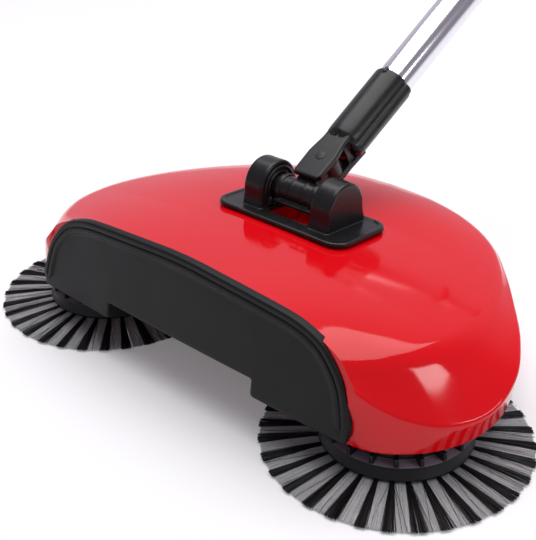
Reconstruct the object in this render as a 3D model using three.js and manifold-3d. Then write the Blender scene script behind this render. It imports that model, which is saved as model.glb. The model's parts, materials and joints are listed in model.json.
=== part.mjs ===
// Push carpet sweeper: a low red hood over two flat round brushes that a wheel axle turns, with a
// drawer-like dust bin at the rear and a long three-piece handle on a tilt-and-swing knuckle.
// Millimetres. +Z is up, the black front panel faces -Y, and X runs from brush to brush.
import * as THREE from "three";
import { mergeVertices } from "three/addons/utils/BufferGeometryUtils.js";
import Module from "manifold-3d";

const wasm = await Module();
wasm.setup();

// ---- driving dimensions ---------------------------------------------------------------------
const gap = 0.3; // air left between two pieces that touch
const wall = 2.5; // hood and bin wall
const brushX = 125; // brush centres stand at x = +-brushX on the axle line
const brushTip = 79.7;
const tufts = 32;
const axleZ = 31; // axle height, which is also the tyre radius
const axleR = 3;
const hubTeeth = 20; // ring of upright ribs on each brush, which the pinion pushes round
const pinionTeeth = 7;
const skirtZ = 25; // lower edge of the hood
const deckZ = 49; // underside of the chassis deck
const lipY = 60; // rubber floor lip behind the brushes: the part's own origin lies under it
const binHalf = 72;
const binTop = 50;
const rearWheel = { r: 11, x: 80, y: 134 };
const pivot = { y: 62, z: 94, r: 8 }; // tilt axis of the handle, along X
const lean = THREE.MathUtils.degToRad(28.5); // handle above the horizontal at rest
const handleFoot = { y: 62, z: 93.8 }; // a point on the handle's centre line
const swingAt = 25.5; // swing pin, measured up the handle from handleFoot
const tubeR = 12.5;
const tubeWall = 0.8;
const tubeLength = 268;
const plate = { half: 54, y0: 33, y1: 86, t: 3.2, r: 12 };
const screwR = 1.5; // shanks that hold the base plate from inside the hood

// Right-hand half of the hood in plan, from the front panel round to the middle of the back.
const skirtLine = [
  [122, -49, 0], [139.5, -45.5, 0], [153.5, -36.5, 0], [167, -20.5, 0], [175.5, 2, 0],
  [175.5, 28, 0], [166, 56, 0], [146, 84, 0], [125, 110, 0], [102, 135, 0], [70, 156, 0],
  [35, 166, 0], [0, 169, 0],
];
const creaseLine = [
  [125.5, -51.5, 65], [140, -43.5, 53.5], [156, -32.5, 45], [172, -16, 40.5], [181.5, 5, 42.5],
  [180, 31, 51], [167, 56, 57.5], [146, 84, 60], [125, 110, 60.5], [102, 135, 60], [70, 156, 59],
  [35, 166, 58.5], [0, 169, 58.5],
];
const shoulderLine = [
  [120, -47, 73], [128, -38, 72], [138, -24, 72], [146, -8, 71.5], [150, 12, 70.5], [150, 34, 69],
  [144, 61, 67.5], [132, 90, 66], [115, 116, 65], [95, 136, 65], [67, 152, 65.5], [35, 161, 66],
  [0, 164, 66],
];
const crownHeight = (y) => 88.5 - 0.085 * (y + 46); // ridge of the hood along x = 0
const hoodRows = 20;
const fanY = 90; // behind this line the rows of the hood converge on one point

// Front panel: the half outline as [x, z], and the leaning, slightly bowed face it is drawn on.
const panelTop = [
  [0, 91.5], [14, 91.2], [28, 90.4], [45, 89.4], [60, 88.4], [76, 87.2], [88, 85.8], [98, 83.3],
  [107, 79.3], [113, 74.6], [118, 69.4], [122, 64.2], [125, 58.6], [127, 53], [128.6, 47],
  [129.8, 42], [130.6, 37.4], [130.4, 32.5], [127.5, 29.2],
];
const panelFoot = [
  [120, 28.5], [96, 28.5], [66, 28.5], [63.4, 29.6], [62.4, 32], [62.2, 38.6], [61.6, 39.2],
  [45, 39.2], [30, 39.2], [15, 39.2],
];
const panelT = 5;
const panelRim = { width: 8.5, height: 1.2 }; // raised round the top and the sides
const panelFace = (x, z) => -55.4 + 0.000124 * x * x + 0.173 * (z - 40);

// ---- solids ---------------------------------------------------------------------------------
function solid(geometry) {
  const bare = new THREE.BufferGeometry().setAttribute("position", geometry.getAttribute("position"));
  if (geometry.index) bare.setIndex(geometry.index);
  const merged = mergeVertices(bare, 1e-4);
  const index = merged.index.array;
  const faces = [];
  for (let i = 0; i < index.length; i += 3) {
    const [a, b, c] = index.slice(i, i + 3);
    if (a !== b && b !== c && a !== c) faces.push(a, b, c);
  }
  const build = (tri) =>
    new wasm.Manifold(
      new wasm.Mesh({ numProp: 3, vertProperties: merged.attributes.position.array, triVerts: tri }),
    );
  const made = build(new Uint32Array(faces));
  return made.volume() > 0 ? made : build(new Uint32Array(faces.reverse()));
}

const join = (...parts) => parts.reduce((a, b) => a.add(b));
const cut = (body, ...tools) => tools.reduce((a, b) => a.subtract(b), body);
const move = (body, x, y, z) => body.translate([x, y, z]);
const mirrorX = (body) => body.mirror([1, 0, 0]);

function block(x0, x1, y0, y1, z0, z1) {
  const g = new THREE.BoxGeometry(x1 - x0, y1 - y0, z1 - z0);
  return solid(g.translate((x0 + x1) / 2, (y0 + y1) / 2, (z0 + z1) / 2));
}

// A closed [radius, height] profile turned about Z, X or Y.
function turned(profile, axis = "z", n = 28) {
  const pts = [...profile, profile[0]].map(([r, h]) => new THREE.Vector2(r, h));
  const g = new THREE.LatheGeometry(pts, n);
  if (axis === "z") g.rotateX(Math.PI / 2);
  if (axis === "x") g.rotateZ(-Math.PI / 2);
  return solid(g);
}
const rod = (r, h0, h1, axis, n) => turned([[0, h0], [r, h0], [r, h1], [0, h1]], axis, n);
const tube = (r0, r1, h0, h1, axis, n) => turned([[r0, h0], [r1, h0], [r1, h1], [r0, h1]], axis, n);

// A flat outline pushed along Z, X or Y from h0 to h1. Outline points are [x, y], [y, z] or [x, z].
function prism(outline, h0, h1, axis = "z") {
  const shape = new THREE.Shape(outline.map(([a, b]) => new THREE.Vector2(a, b)));
  const g = new THREE.ExtrudeGeometry(shape, { depth: h1 - h0, bevelEnabled: false });
  g.translate(0, 0, h0);
  const p = g.attributes.position;
  for (let i = 0; i < p.count; i++) {
    const [a, b, h] = [p.getX(i), p.getY(i), p.getZ(i)];
    if (axis === "x") p.setXYZ(i, h, a, b);
    if (axis === "y") p.setXYZ(i, a, h, b);
  }
  return solid(g);
}

function arc(cx, cy, r, from, to, n = 8) {
  return Array.from({ length: n + 1 }, (_, i) => {
    const a = THREE.MathUtils.degToRad(from + ((to - from) * i) / n);
    return [cx + r * Math.cos(a), cy + r * Math.sin(a)];
  });
}
function roundRect(x0, x1, y0, y1, r, n = 6) {
  return [
    ...arc(x1 - r, y1 - r, r, 0, 90, n), ...arc(x0 + r, y1 - r, r, 90, 180, n),
    ...arc(x0 + r, y0 + r, r, 180, 270, n), ...arc(x1 - r, y0 + r, r, 270, 360, n),
  ];
}

// ---- hood surface ---------------------------------------------------------------------------
const curve = (points) =>
  new THREE.CatmullRomCurve3(points.map((p) => new THREE.Vector3(...p)), false, "centripetal");
const lines = { skirt: curve(skirtLine), crease: curve(creaseLine), shoulder: curve(shoulderLine) };

// One row of the hood, from its lower edge up over the shoulder to the ridge, drawn in by `inset`.
function hoodRow(u, inset, footZ) {
  const at = (line) => line.getPoint(u);
  const [before, after] = [Math.max(0, u - 0.01), Math.min(1, u + 0.01)];
  const along = lines.skirt.getPoint(after).sub(lines.skirt.getPoint(before));
  const inward = new THREE.Vector3(-along.y, along.x, 0).normalize().multiplyScalar(inset);
  if (u === 1) inward.set(0, -inset, 0);
  if (u === 0) inward.set(-inset, 0, 0);
  const [skirt, crease, shoulder] = [at(lines.skirt), at(lines.crease), at(lines.shoulder)];
  const row = [];
  const side = (p, z) => row.push(p.clone().add(inward).setZ(z));
  side(skirt, footZ);
  side(skirt.clone().lerp(crease, 0.55), THREE.MathUtils.lerp(skirtZ, crease.z, 0.55));
  side(crease, crease.z - inset * 0.4);
  for (const k of [0.12, 0.5, 0.88]) {
    const p = crease.clone().lerp(shoulder, k);
    side(p, p.z - 3.2 * k * (1 - k) - inset * (0.4 + 0.3 * k));
  }
  const ridge = new THREE.Vector3(0, Math.min(shoulder.y, fanY), 0);
  const top = crownHeight(ridge.y);
  const boxy = THREE.MathUtils.lerp(4.6, 2.6, Math.min(1, u * 3));
  const edge = shoulder.clone().add(inward);
  for (const k of [1, 0.95, 0.85, 0.68, 0.4, 0]) {
    const p = ridge.clone().lerp(edge, k);
    const round = k === 1 ? 0.6 : 0;
    row.push(p.setZ(shoulder.z - round - inset + (top - shoulder.z) * (1 - Math.pow(k, boxy))));
  }
  return row;
}

// Everything under the hood as one solid, drawn in by `inset`. It starts at the hood's front edge, or
// ahead of the panel where it is open to the front.
function hoodSolid(inset, footZ, openFront = true) {
  const half = [];
  for (let i = 0; i <= hoodRows; i++) half.push(hoodRow(i / hoodRows, inset, footZ));
  if (openFront) half.unshift(half[0].map((p) => p.clone().setY(-90)));
  const flip = (p) => new THREE.Vector3(-p.x, p.y, p.z);
  const arches = half.map((row) => [...row.map(flip), ...row.slice(0, -1).reverse()]);
  const tri = [];
  const quad = (a, b, c, d) => tri.push(a, b, c, a, c, d);
  const last = arches[0].length - 1;
  for (let i = 0; i + 1 < arches.length; i++) {
    const [p, q] = [arches[i], arches[i + 1]];
    for (let j = 0; j < last; j++) quad(p[j], q[j], q[j + 1], p[j + 1]);
    quad(p[last], q[last], q[0], p[0]);
  }
  for (let j = 0; j < (last - 1) / 2; j++) {
    const f = arches[0];
    quad(f[j], f[j + 1], f[last - j - 1], f[last - j]);
  }
  const g = new THREE.BufferGeometry();
  g.setAttribute("position", new THREE.Float32BufferAttribute(tri.flatMap((v) => [v.x, v.y, v.z]), 3));
  return solid(g);
}

// A slab on the panel face, `y0` to `y1` behind it, inside the given [x, z] outline.
function panelSlab(outline, y0, y1) {
  const shape = new THREE.Shape(outline.map(([x, z]) => new THREE.Vector2(x, z)));
  const g = new THREE.ExtrudeGeometry(shape, { depth: y1 - y0, bevelEnabled: false });
  const p = g.attributes.position;
  for (let i = 0; i < p.count; i++) {
    const [x, z, h] = [p.getX(i), p.getY(i), p.getZ(i)];
    p.setXYZ(i, x, panelFace(x, z) + y0 + h, z);
  }
  return solid(g);
}

// The outline moved inwards by d, or outwards where d is below zero. Points that a tight corner
// pushes too near the outline are dropped.
function movedOutline(outline, d) {
  const n = outline.length;
  const reach = ([x, z], i) => {
    const [[ax, az], [bx, bz]] = [outline[i], outline[(i + 1) % n]];
    const t = ((x - ax) * (bx - ax) + (z - az) * (bz - az)) / ((bx - ax) ** 2 + (bz - az) ** 2);
    const k = Math.min(1, Math.max(0, t));
    return Math.hypot(x - ax - k * (bx - ax), z - az - k * (bz - az));
  };
  const pushed = outline.map(([x, z], i) => {
    const [px, pz] = outline[(i + n - 1) % n];
    const [qx, qz] = outline[(i + 1) % n];
    const len = Math.hypot(qx - px, qz - pz);
    return [x - ((qz - pz) / len) * d, z + ((qx - px) / len) * d];
  });
  return pushed.filter((p) => outline.every((_, i) => reach(p, i) > d - 0.4));
}

// Everything from y0 to y1 behind the panel's face, panel or not.
function behindPanel(y0, y1) {
  const wide = [-210, -160, -120, -90, -60, -30, 0, 30, 60, 90, 120, 160, 210];
  const sheet = [...wide.map((x) => [x, 0]), ...wide.toReversed().map((x) => [x, 130])];
  return panelSlab(sheet, y0, y1);
}

const hoodOuter = hoodSolid(0, skirtZ, false);
const hoodInner = hoodSolid(wall, skirtZ - 20);
const hoodClear = hoodSolid(wall + gap, skirtZ - 20);

const parts = [];
const add = (name, body, look) => parts.push({ name, body, look });
const bothSides = (name, body, look) => {
  add("right_" + name, body, look);
  add("left_" + name, mirrorX(body), look);
};

// ---- front panel: a slab with a raised rim round its top and sides -------------------------------
const half = [...panelTop, ...panelFoot];
const mirrored = half.slice(1).reverse().map(([x, z]) => [-x, z]);
const outline = [...half, [0, 39.2], ...mirrored].reverse();
const field = movedOutline(outline, panelRim.width);
const toTheFoot = field.map(([x, z]) => [x, z - panelRim.width - 1]);
add(
  "front_panel",
  cut(
    panelSlab(outline, 0, panelT),
    panelSlab(field, -5, panelRim.height),
    panelSlab(toTheFoot, -5, panelRim.height),
  ),
  "black",
);

// ---- hood, with the handle well in its top and the bin opening in its back ---------------------
const well = { x: 17, y0: 47, y1: 78, z: 66 };
const screws = [[44.3, 42.5], [44.3, 76.5], [-44.3, 42.5], [-44.3, 76.5]]; // of the base plate
const flange = { x: 110, y0: 2, y1: 4.4 }; // closes the hood beside the panel, behind its face
const ends = join(block(flange.x, 200, -90, 0, 0, 100), block(-200, -flange.x, -90, 0, 0, 100));
const front = hoodOuter.intersect(behindPanel(flange.y0, flange.y1)).intersect(ends);
let hood = join(cut(hoodOuter, hoodInner), front);
const wellCup = block(-well.x - 2, well.x + 2, well.y0 - 2, well.y1 + 2, well.z - 2, 100);
hood = join(hood, wellCup.intersect(hoodOuter));
hood = cut(
  hood,
  block(-well.x, well.x, well.y0, well.y1, well.z, 100),
  block(-binHalf - 0.5, binHalf + 0.5, 90, 200, 10, binTop + 0.5),
  behindPanel(-60, flange.y0),
  panelSlab(movedOutline(outline, -gap), -60, panelT + gap),
  ...screws.map(([x, y]) => move(rod(screwR + gap, 60, 100, "z", 12), x, y, 0)),
);
hood = join(hood, move(tube(2.2, 5, well.z - 1, well.z + 6, "z", 20), 6, 62, 0));
add("top_shell", hood, "red");

// ---- chassis: deck, brush bosses, axle brackets, bin rails and rear wheel legs ------------------
const bracketX = 72;
let deck = block(-200, 200, -200, 200, deckZ, deckZ + 3).intersect(hoodClear);
deck = cut(
  deck,
  block(-200, 200, -200, -43, 0, 100),
  block(-44, 44, -35, 35, 0, 100),
  block(-binHalf - 2.2, binHalf + 2.2, 56, 200, 0, 100),
);
for (const s of [-1, 1]) {
  const span = (a, b) => (s > 0 ? [a, b] : [-b, -a]);
  deck = join(
    deck,
    move(rod(10, 24.6, deckZ + 1, "z", 24), s * brushX, 0, 0),
    block(...span(bracketX - 3, bracketX + 3), -9, 9, axleZ - 8, deckZ + 1),
    block(...span(50, 66), -46, -43, 41, deckZ + 2),
    block(...span(50, 66), -46, -40, deckZ, deckZ + 3),
    block(...span(binHalf + 0.6, binHalf + 2.2), 66, 128, 34, deckZ + 3),
    block(...span(binHalf + 2.1, binHalf + 6), 66, 124, deckZ, deckZ + 3),
    block(...span(rearWheel.x - 6.4, rearWheel.x - 4.6), 127, 139, 6, deckZ + 3),
    block(...span(rearWheel.x + 4.6, rearWheel.x + 6.4), 127, 137, 6, deckZ + 3),
  );
  deck = cut(
    deck,
    move(rod(3.8, 0, 100, "z", 16), s * brushX, 0, 0),
    move(rod(5.8, s * bracketX - 5, s * bracketX + 5, "x", 24), 0, 0, axleZ),
    move(rod(2.3, s * rearWheel.x - 9, s * rearWheel.x + 9, "x", 16), 0, rearWheel.y, rearWheel.r),
  );
}
const behindHood = cut(block(-200, 200, 100, 200, 0, 100), hoodSolid(wall + gap, 0));
add("chassis", cut(deck, behindHood), "darkRed");

// ---- drive axle: two tyred wheels between the brushes, a pinion over each brush ------------------
const atAxle = (body) => move(body, 0, 0, axleZ);
add("drive_axle", atAxle(rod(axleR, -91, 91, "x", 24)), "steel");
const bush = tube(axleR + 0.06, 5.5, bracketX - 3.6, bracketX + 3.6, "x", 24);
bothSides("axle_bush", atAxle(bush), "white");
const wheelHub = turned(
  [[3.3, 22], [8, 22], [8, 27], [22, 29], [22, 24.6], [26.2, 24.6], [26.2, 39.4], [22, 39.4], [22, 33],
   [8, 31.5], [8, 42], [3.3, 42]], "x", 24);
bothSides("wheel_hub", atAxle(wheelHub), "black");
const tyre = [[26.5, 24.2], [30, 24.2], [axleZ, 25.4], [axleZ, 38.6], [30, 39.8], [26.5, 39.8]];
bothSides("tyre", atAxle(turned(tyre, "x", 32)), "rubber");

function pinion() {
  const pts = [];
  const step = 360 / pinionTeeth;
  const on = (r, deg) => arc(0, 0, r, deg, deg, 1)[0];
  for (let i = 0; i < pinionTeeth; i++) {
    const mid = -90 + step * (i + 0.5); // a space faces straight down
    pts.push(on(10.5, mid - 11), on(13.5, mid - 8.5), on(17, mid - 3.4));
    pts.push(on(17, mid + 3.4), on(13.5, mid + 8.5), on(10.5, mid + 11));
  }
  return join(prism(pts, 80.8, 87.2, "x"), tube(2, 7, 76.5, 81, "x", 24));
}
bothSides("pinion", atAxle(cut(pinion(), rod(axleR + gap, 70, 95, "x", 16))), "white");

// ---- brushes --------------------------------------------------------------------------------
function brushHub() {
  const bore = axleR + 0.56;
  let hub = turned(
    [[bore, 7], [9, 7], [9, 9], [38, 9], [40, 4.8], [45, 4.8], [45, 6.2], [40.6, 12], [44.4, 13],
     [44.4, 14], [37, 14], [37, 19], [35, 19], [35, 11.6], [9, 11.6], [8, 24], [bore, 24]], "z", 36);
  for (let i = 0; i < hubTeeth; i++) {
    const rib = prism([[-1.3, 13.8], [1.3, 13.8], [0.9, 19.4], [-0.9, 19.4]], 37.8, 44.2, "y");
    hub = join(hub, rib.rotate([0, 0, (i * 360) / hubTeeth + 90]));
  }
  return hub;
}

// The tufts as one thin cone, parted between neighbours from two thirds of the way out.
function bristles() {
  const outer = [];
  const pitch = 360 / tufts;
  const spot = (r, deg) => arc(0, 0, r, deg, deg, 1)[0];
  for (let i = 0; i < tufts; i++) {
    const mid = -90 + i * pitch;
    outer.push(spot(60, mid + 0.2), spot(brushTip, mid + 0.6), spot(brushTip, mid + pitch / 2));
    outer.push(spot(brushTip, mid + pitch - 0.6), spot(60, mid + pitch - 0.2));
  }
  const shape = new THREE.Shape(outer.map(([x, y]) => new THREE.Vector2(x, y)));
  const rim = arc(0, 0, 38, 360, 360 / tufts, tufts - 1);
  shape.holes.push(new THREE.Path(rim.map(([x, y]) => new THREE.Vector2(x, y))));
  const g = new THREE.ExtrudeGeometry(shape, { depth: 1, bevelEnabled: false });
  const p = g.attributes.position;
  for (let i = 0; i < p.count; i++) {
    const out = Math.hypot(p.getX(i), p.getY(i)) - 37;
    p.setZ(i, p.getZ(i) > 0.5 ? 4.5 - 0.06 * out : 2.6 - 0.048 * out);
  }
  return solid(g);
}
const atBrush = (body) => move(body, brushX, 0, 0);
const hubSolid = brushHub();
bothSides("brush_hub", atBrush(hubSolid), "black");
bothSides("bristles", atBrush(bristles()), "grey");
const post = [
  [0, 6.9], [axleR + 0.5, 6.9], [axleR + 0.5, deckZ + 3.3], [7, deckZ + 3.3], [7, deckZ + 5],
  [0, deckZ + 5],
];
bothSides("brush_post", atBrush(turned(post, "z", 24)), "steel");
const brushScrew = [[0, 3], [4, 3], [5, 4.2], [7.5, 4.8], [7.5, 6.5], [0, 6.5]];
bothSides("brush_screw", atBrush(turned(brushScrew, "z", 24)), "steel");

// ---- dust bin: a tray with a ramp at its mouth and a back that closes the hood --------------------
const binBody = hoodSolid(0, 5);
const binSpace = hoodSolid(wall, 0);
const binFront = lipY + 1.5;
let bin = block(-binHalf, binHalf, binFront, 200, 5, binTop).intersect(binBody);
bin = cut(bin, block(-binHalf + 2, binHalf - 2, binFront - 5, 200, 7, 90).intersect(binSpace));
const rampFace = [
  [binFront, 6], [binFront + 3, 8], [binFront + 20, 17], [binFront + 22, 17], [binFront + 24, 6],
];
const ramp = prism(rampFace, 1 - binHalf, binHalf - 1, "x");
add("bin_tray", join(bin, ramp), "clear");
const pull = join(prism(roundRect(-26, 26, 166, 178, 5), 26, 31), block(-18, 18, 162, 174, 20, 30));
add("bin_pull", cut(pull, hoodSolid(-gap, 0)), "black");
add("floor_lip", block(-66, 66, lipY - 1.2, lipY + 1.2, 0, 12), "rubber");

// ---- rear wheels ------------------------------------------------------------------------------
const atRear = (body) => move(body, rearWheel.x, rearWheel.y, rearWheel.r);
const rearProfile = [
  [2.06, -4], [rearWheel.r - 1, -4], [rearWheel.r, -3], [rearWheel.r, 3], [rearWheel.r - 1, 4],
  [2.06, 4],
];
bothSides("rear_wheel", atRear(turned(rearProfile, "x", 24)), "rubber");
bothSides("rear_pin", atRear(rod(2, -7.4, 7.4, "x", 16)), "steel");

// ---- base plate with two domed ears ------------------------------------------------------------
const slope = Math.atan(0.085);
const plateZ = (y) => crownHeight(y) + gap;
const slab = prism(roundRect(-plate.half, plate.half, plate.y0, plate.y1, plate.r), 60, 100);
const under = block(-100, 100, -100, 100, -60, 0).rotate([-THREE.MathUtils.radToDeg(slope), 0, 0]);
const beneath = (rise) => move(under, 0, 60, plateZ(60) + rise);
let base = slab.intersect(beneath(plate.t));
const plateRim = 3;
const dish = roundRect(
  plateRim - plate.half, plate.half - plateRim, plate.y0 + plateRim, plate.y1 - plateRim,
  plate.r - plateRim);
base = cut(base, cut(prism(dish, 60, 100), beneath(plate.t - 0.7)));
const earR = 17.2;
const dome = arc(pivot.y, pivot.z, earR, 0, 180, 12);
const ear = prism(
  [[pivot.y - earR - 2.4, 70], [pivot.y + earR + 2.4, 70], [pivot.y + earR + 2, 83.5],
   [pivot.y + earR + 0.6, 88], ...dome, [pivot.y - earR - 0.6, 88], [pivot.y - earR - 2, 83.5]],
  20, 36.4, "x");
const earRing = move(tube(6, 11, 19.4, 20.5, "x", 20), 0, pivot.y, pivot.z);
const oneSide = join(ear, earRing);
base = join(base, oneSide, mirrorX(oneSide));
base = cut(
  base,
  move(hoodOuter, 0, 0, gap),
  prism(roundRect(-17.6, 17.6, 46, 79, 3), 60, 100),
  move(rod(3.3, -33.6, 33.6, "x", 28), 0, pivot.y, pivot.z),
  ...screws.map(([x, y]) => move(rod(screwR + gap, 60, plateZ(y) + 2.5, "z", 12), x, y, 0)),
);
add("base_plate", base, "black");
for (const [i, [x, y]] of screws.entries()) {
  const screw = turned([[0, 0], [3.4, 0], [3.4, 2], [screwR, 2], [screwR, 8.4], [0, 8.4]], "z", 12);
  add("plate_screw_" + (i + 1), move(screw, x, y, crownHeight(y) - wall - 4), "steel");
}
add("pivot_pin", move(rod(axleR, -33.3, 33.3, "x", 24), 0, pivot.y, pivot.z), "steel");

// ---- knuckle and handle, drawn with Y up the handle and the swing pin at the origin ---------------
const swing = {
  y: handleFoot.y + swingAt * Math.cos(lean),
  z: handleFoot.z + swingAt * Math.sin(lean),
};
const onHandle = (body) =>
  move(body.rotate([THREE.MathUtils.radToDeg(lean), 0, 0]), 0, swing.y, swing.z);
const offHandle = (body) =>
  move(body, 0, -swing.y, -swing.z).rotate([-THREE.MathUtils.radToDeg(lean), 0, 0]);

const barrel = offHandle(move(rod(pivot.r, -18.8, 18.8, "x", 24), 0, pivot.y, pivot.z));
const collars = offHandle(move(tube(5, 10, 12, 16, "x", 20), 0, pivot.y, pivot.z));
const web = join(block(-8, 8, -22, 0, -6.2, 6.2), rod(9, -6.2, 6.2, "z", 24));
let tongue = join(barrel, collars, mirrorX(collars), web);
tongue = cut(
  tongue,
  offHandle(move(rod(axleR + 0.06, -40, 40, "x", 24), 0, pivot.y, pivot.z)),
  rod(2.56, -20, 20, "z", 20),
);
add("pivot_barrel", onHandle(tongue), "black");

// Two cheeks round the tongue: a long six-sided plate over it and a round-ended one under it.
const cheek = { n0: 6.5, n1: 10.8 };
const overFace = [
  [-9.4, -17.5], [9.4, -17.5], [10.8, -15], [11.2, 2], [8.6, 16], [8.2, 27], [-8.2, 27],
  [-8.6, 16], [-11.2, 2], [-10.8, -15],
];
const underFace = [
  ...arc(0, -2.5, 10.5, 180, 360, 12), [10.5, 18], [11.5, 27], [-11.5, 27], [-10.5, 18],
];
const sideRib = rod(5.2, 20, 79, "y", 16);
const socket = join(
  turned([[0, 16], [9.6, 16], [12.6, 21], [14, 28], [14.3, 79], [13.8, 80], [0, 80]], "y", 28),
  move(sideRib, 10, 0, 0),
  move(sideRib, -10, 0, 0),
  block(-8.5, 8.5, 13, 27, -10.8, 10.8),
);
const knuckle = cut(
  join(prism(overFace, cheek.n0, cheek.n1), prism(underFace, -cheek.n1, -cheek.n0), socket),
  block(-30, 30, -30, 13, -cheek.n0, cheek.n0),
  rod(tubeR + gap, 38, 90, "y", 24),
  rod(2.8, -20, 20, "z", 16),
);
add("knuckle", onHandle(knuckle), "black");
const swingPin = rod(2.5, -10.6, 11, "z", 20);
add("swing_pin", onHandle(swingPin), "steel");

const collar = 14;
let s = 39;
["lower", "middle", "upper"].forEach((where, i) => {
  const end = s + tubeLength;
  add(where + "_tube", onHandle(tube(tubeR - tubeWall, tubeR, s, end, "y", 24)), "metal");
  if (i < 2) {
    const joiner = turned(
      [[0, end - 24], [11.4, end - 24], [11.4, end + gap], [13.6, end + gap], [13.9, end + 4],
       [13.9, end + collar - 4], [13.6, end + collar - gap], [11.4, end + collar - gap],
       [11.4, end + collar + 24], [0, end + collar + 24]], "y", 20);
    add(where + "_joiner", onHandle(joiner), "black");
  }
  s = end + (i < 2 ? collar : 0);
});
const gripFrom = s - 96;
let grip = turned(
  [[0, gripFrom], [14.6, gripFrom], [16, gripFrom + 5], [15.4, gripFrom + 30],
   [16.4, gripFrom + 60], [15.2, gripFrom + 92], [16.6, gripFrom + 108], [15.6, gripFrom + 122],
   [11, gripFrom + 130], [0, gripFrom + 132]], "y", 24);
grip = cut(grip, rod(tubeR + gap, gripFrom - 5, s + gap, "y", 24));
add("grip", onHandle(grip), "softBlack");

// ---- the group ---------------------------------------------------------------------------------
const looks = {
  red: { color: 0xc8101c, roughness: 0.16 },
  darkRed: { color: 0x8e0d16, roughness: 0.35 },
  black: { color: 0x161617, roughness: 0.42 },
  softBlack: { color: 0x1b1b1c, roughness: 0.7 },
  rubber: { color: 0x222223, roughness: 0.85 },
  grey: { color: 0x6d6f72, roughness: 0.7 },
  white: { color: 0xd8d6cf, roughness: 0.5 },
  clear: { color: 0x2a2a2c, roughness: 0.3 },
  steel: { color: 0xb4b6ba, roughness: 0.3, metalness: 1 },
  metal: { color: 0xd9dadf, roughness: 0.14, metalness: 1 },
};
const part = new THREE.Group();
for (const { name, body, look } of parts) {
  const made = body.getMesh();
  const g = new THREE.BufferGeometry();
  g.setAttribute("position", new THREE.BufferAttribute(new Float32Array(made.vertProperties), 3));
  g.setIndex(new THREE.BufferAttribute(new Uint32Array(made.triVerts), 1));
  const flat = g.toNonIndexed();
  flat.computeVertexNormals();
  const mesh = new THREE.Mesh(flat, new THREE.MeshStandardMaterial({ name: look, ...looks[look] }));
  mesh.name = name;
  part.add(mesh);
}
part.position.set(0, -lipY, 0);

export default part;
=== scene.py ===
"""Push carpet sweeper: gloss red hood, satin black panel and knuckle, two flat round brushes and a
bright three-piece tube. Pieces are meshed here in millimetres, measured from the floor under the
axle, and placed with the frame's own boxes and joints. A few small CAD nodes are shown as they are."""
import json
import math
import random

import bmesh
import bpy
from mathutils import Matrix, Vector


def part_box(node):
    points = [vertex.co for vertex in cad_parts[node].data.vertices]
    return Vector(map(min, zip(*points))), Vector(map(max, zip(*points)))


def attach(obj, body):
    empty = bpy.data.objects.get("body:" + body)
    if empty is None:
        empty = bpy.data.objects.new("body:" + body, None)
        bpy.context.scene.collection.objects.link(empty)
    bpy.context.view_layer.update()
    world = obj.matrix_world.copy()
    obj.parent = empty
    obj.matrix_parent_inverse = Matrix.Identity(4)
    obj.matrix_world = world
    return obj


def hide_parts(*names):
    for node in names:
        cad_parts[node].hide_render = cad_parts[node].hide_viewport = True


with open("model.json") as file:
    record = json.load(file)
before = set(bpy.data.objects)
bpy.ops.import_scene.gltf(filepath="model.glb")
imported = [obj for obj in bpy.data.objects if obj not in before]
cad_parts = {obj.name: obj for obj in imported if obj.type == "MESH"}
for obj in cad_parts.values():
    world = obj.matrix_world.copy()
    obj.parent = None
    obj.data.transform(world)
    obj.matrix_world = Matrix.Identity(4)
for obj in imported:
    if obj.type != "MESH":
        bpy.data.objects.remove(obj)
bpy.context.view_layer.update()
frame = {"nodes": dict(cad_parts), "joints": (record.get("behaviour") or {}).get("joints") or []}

MM = 0.001
scene = bpy.context.scene
joints = {joint["name"]: joint for joint in frame["joints"]}


def middle(node):
    """The middle of a CAD node's box, in metres."""
    low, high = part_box(node)
    return (low + high) / 2


def in_shop(point):
    """A row-frame point in metres as millimetres from the axle line."""
    return (Vector(point) - ORIGIN) / MM


# ---- places taken from the frame -----------------------------------------------------------------
ORIGIN = Vector((0, middle("drive_axle").y, 0))  # the point of the floor under the drive axle
AXLE = in_shop(middle("drive_axle"))
BRUSH = in_shop(middle("right_brush_hub"))
PIVOT = in_shop(joints["handle_tilt"]["pos_m"])
SWING = in_shop(joints["handle_swing"]["pos_m"])
SWING_AXIS = Vector(joints["handle_swing"]["axis"])
LEAN = math.atan2(-SWING_AXIS.y, SWING_AXIS.z)  # handle above the horizontal at rest
REAR = in_shop(middle("right_rear_wheel"))
SIDES = (("right_", 1), ("left_", -1))

# ---- camera --------------------------------------------------------------------------------------
camera = bpy.data.objects.new("camera", bpy.data.cameras.new("camera"))
scene.collection.objects.link(camera)
azimuth, elevation, roll = (math.radians(a) for a in (43.072, 29.089, -0.838))
backward = Vector((math.sin(azimuth) * math.cos(elevation),
                   -math.cos(azimuth) * math.cos(elevation), math.sin(elevation)))
level = (-backward).cross(Vector((0, 0, 1))).normalized()
upward = level.cross(-backward)
axis_x = math.cos(roll) * level + math.sin(roll) * upward
axis_y = -math.sin(roll) * level + math.cos(roll) * upward
camera.matrix_world = Matrix((axis_x, axis_y, backward)).transposed().to_4x4()
camera.location = (0.38328, -0.44166, 0.36430)
camera.data.sensor_width = 36
camera.data.sensor_fit = "VERTICAL"
camera.data.sensor_height = 36
camera.data.lens = 66.55
camera.data.clip_end = 60
scene.camera = camera


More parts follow.
